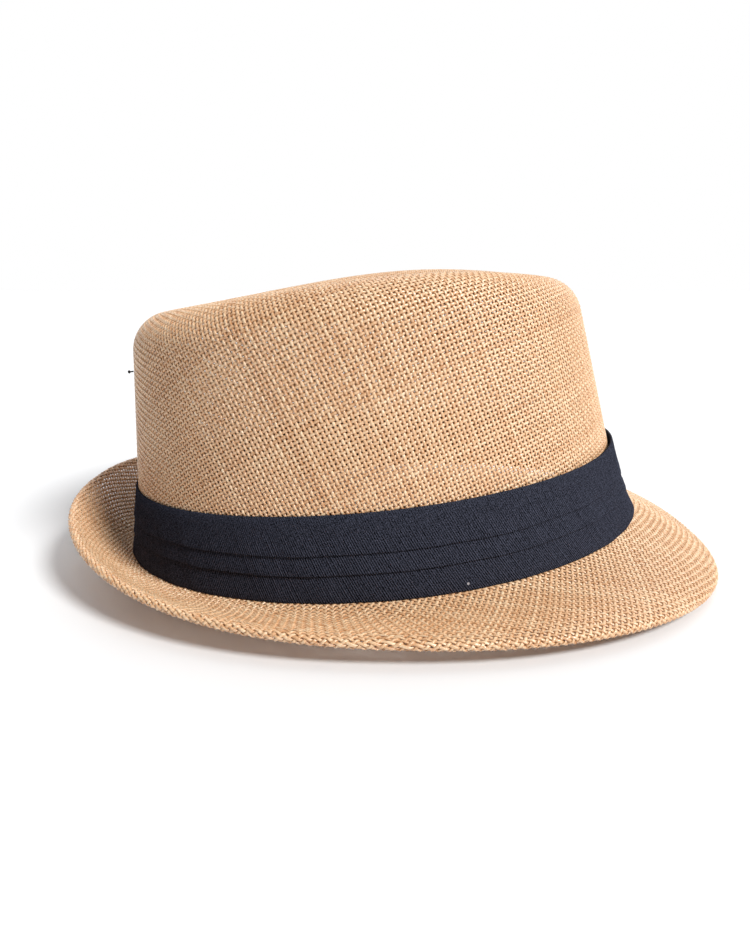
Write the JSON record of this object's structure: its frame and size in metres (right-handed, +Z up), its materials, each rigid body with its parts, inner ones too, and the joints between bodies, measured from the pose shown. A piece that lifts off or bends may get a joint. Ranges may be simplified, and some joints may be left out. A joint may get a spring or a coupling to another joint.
{
  "type": "fedora hat",
  "caption": "Short-brim woven straw trilby hat with a tapered centre-dent crown, a pleated dark cloth band and a brim turned down in front and up at the back.",
  "frame": {"origin": "on the table the hat stands on, under the middle of the brim's length and width", "axes": "+Z up, the front of the hat faces -Y and +Y runs to its back, the wearer's right faces -X"},
  "size_m": [0.236, 0.2524, 0.1086],
  "materials": {
    "straw_weave": "plain-woven twisted paper straw, natural tan, a slight gloss on each strand",
    "straw_thread": "tan sewing thread",
    "band_cloth": "finely ribbed navy-black cloth, pleated",
    "band_thread": "black sewing thread",
    "sweatband_cloth": "plain dark woven cloth",
    "label_cloth": "blank woven satin label",
    "edge_wire": "plain spring wire",
    "barb_plastic": "dark moulded nylon"
  },
  "bodies": {
    "root": {"crown_body": "straw_weave", "tag_barb": "barb_plastic", "brim_body": "straw_weave", "brim_edge_wire": "edge_wire", "hem_stitching": "straw_thread", "hat_band": "band_cloth", "band_join_loop": "band_cloth", "band_tack_front": "band_thread", "band_tack_back": "band_thread", "sweatband": "sweatband_cloth", "sweatband_stitching": "straw_thread", "joint_stitching": "straw_thread", "sweatband_join_tape": "sweatband_cloth", "inside_label": "label_cloth"}
  },
  "joints": []
}
